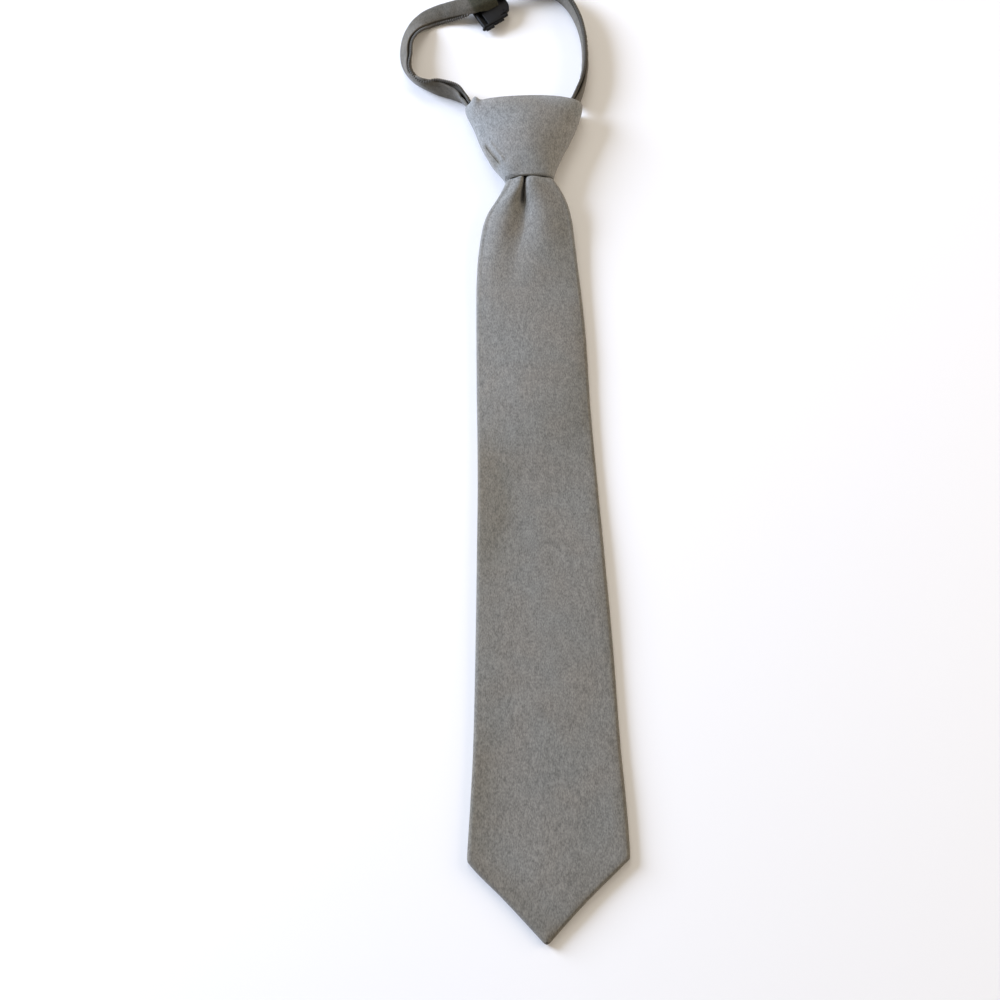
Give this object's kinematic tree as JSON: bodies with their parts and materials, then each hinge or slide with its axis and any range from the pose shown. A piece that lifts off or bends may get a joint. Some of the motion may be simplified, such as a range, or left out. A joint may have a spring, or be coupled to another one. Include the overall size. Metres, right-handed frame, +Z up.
{
  "type": "zipper necktie",
  "caption": "Ready-made necktie lying flat: padded cloth blade with a 90 degree tip, made-up knot, neck loop of two cloth-covered zipper bands and a plastic clip.",
  "frame": {"origin": "bottom centre of the whole tie as it lies on its back", "axes": "+Y from the tip towards the knot and the back of the neck, +X to the right as seen from above, +Z up"},
  "size_m": [0.1054, 0.5184, 0.0195],
  "materials": {
    "tie_cloth": "matt, finely heathered warm grey",
    "band_cloth": "matt, the same cloth as the blade",
    "zipper_coil": "matt woven tape with a nylon coil",
    "slider_metal": "plain zinc",
    "clip_plastic": "black, slightly glossy"
  },
  "bodies": {
    "root": {"blade": "tie_cloth", "knot": "tie_cloth", "neck_band_left": "band_cloth", "neck_band_right": "band_cloth", "zipper_left": "zipper_coil", "zipper_right": "zipper_coil", "zipper_slider": "slider_metal", "zipper_tail": "zipper_coil", "neck_clip": "clip_plastic"}
  },
  "joints": []
}
